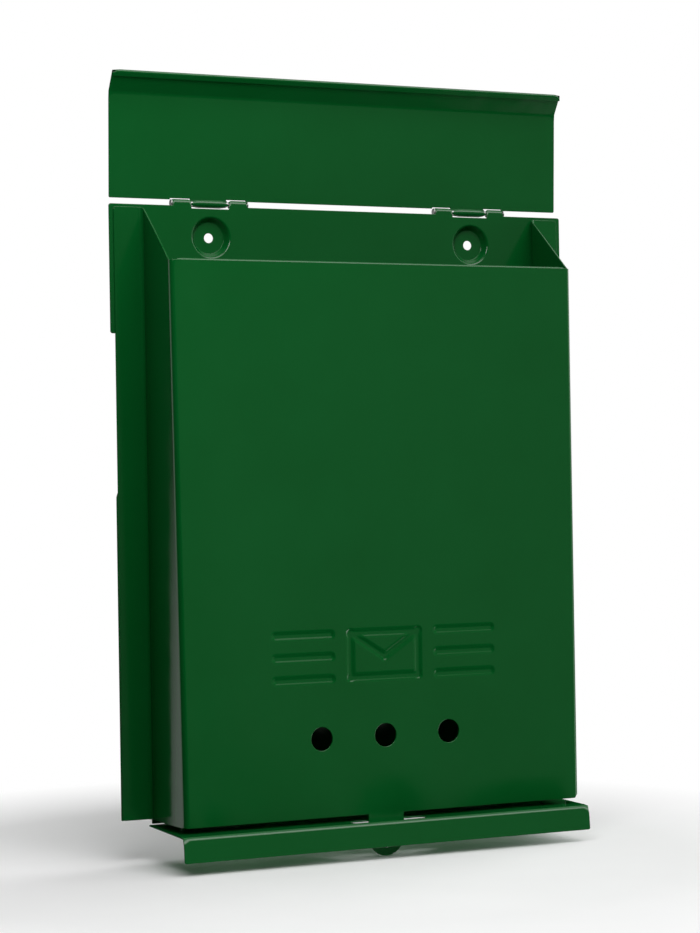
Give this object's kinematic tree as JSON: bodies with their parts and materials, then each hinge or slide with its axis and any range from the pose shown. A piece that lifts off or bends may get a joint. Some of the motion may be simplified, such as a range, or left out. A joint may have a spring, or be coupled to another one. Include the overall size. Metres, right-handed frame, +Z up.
{
  "type": "wall mounted mailbox",
  "caption": "Shallow upright mailbox of folded green sheet steel with a sloping mouth, a hinged top lid, a drop-down bottom door and a padlock tab.",
  "frame": {"origin": "on the wall plane, midway between the two wall screws", "axes": "+Z up, +Y into the wall, +X to the right for someone who faces the box"},
  "size_m": [0.2602, 0.0566, 0.4021],
  "materials": {
    "green_enamel": "gloss enamel over sheet steel",
    "hinge_wire": "galvanised wire"
  },
  "bodies": {
    "box": {"back_panel": "green_enamel", "front_casing": "green_enamel", "lid_hinge_pin_left": "hinge_wire", "lid_hinge_pin_right": "hinge_wire", "door_hinge_pin_left": "hinge_wire", "door_hinge_pin_right": "hinge_wire"},
    "lid": {"lid": "green_enamel"},
    "door": {"bottom_door": "green_enamel"}
  },
  "joints": [
    {"name": "lid_hinge", "type": "hinge", "parent": "box", "child": "lid", "pos_m": [0, -0.0021, 0.0174], "axis": [1, 0, 0], "range_deg": [-2.3, 124.7]},
    {"name": "door_hinge", "type": "hinge", "parent": "box", "child": "door", "pos_m": [0, -0.0021, -0.2987], "axis": [1, 0, 0], "range_deg": [0, 75]}
  ]
}
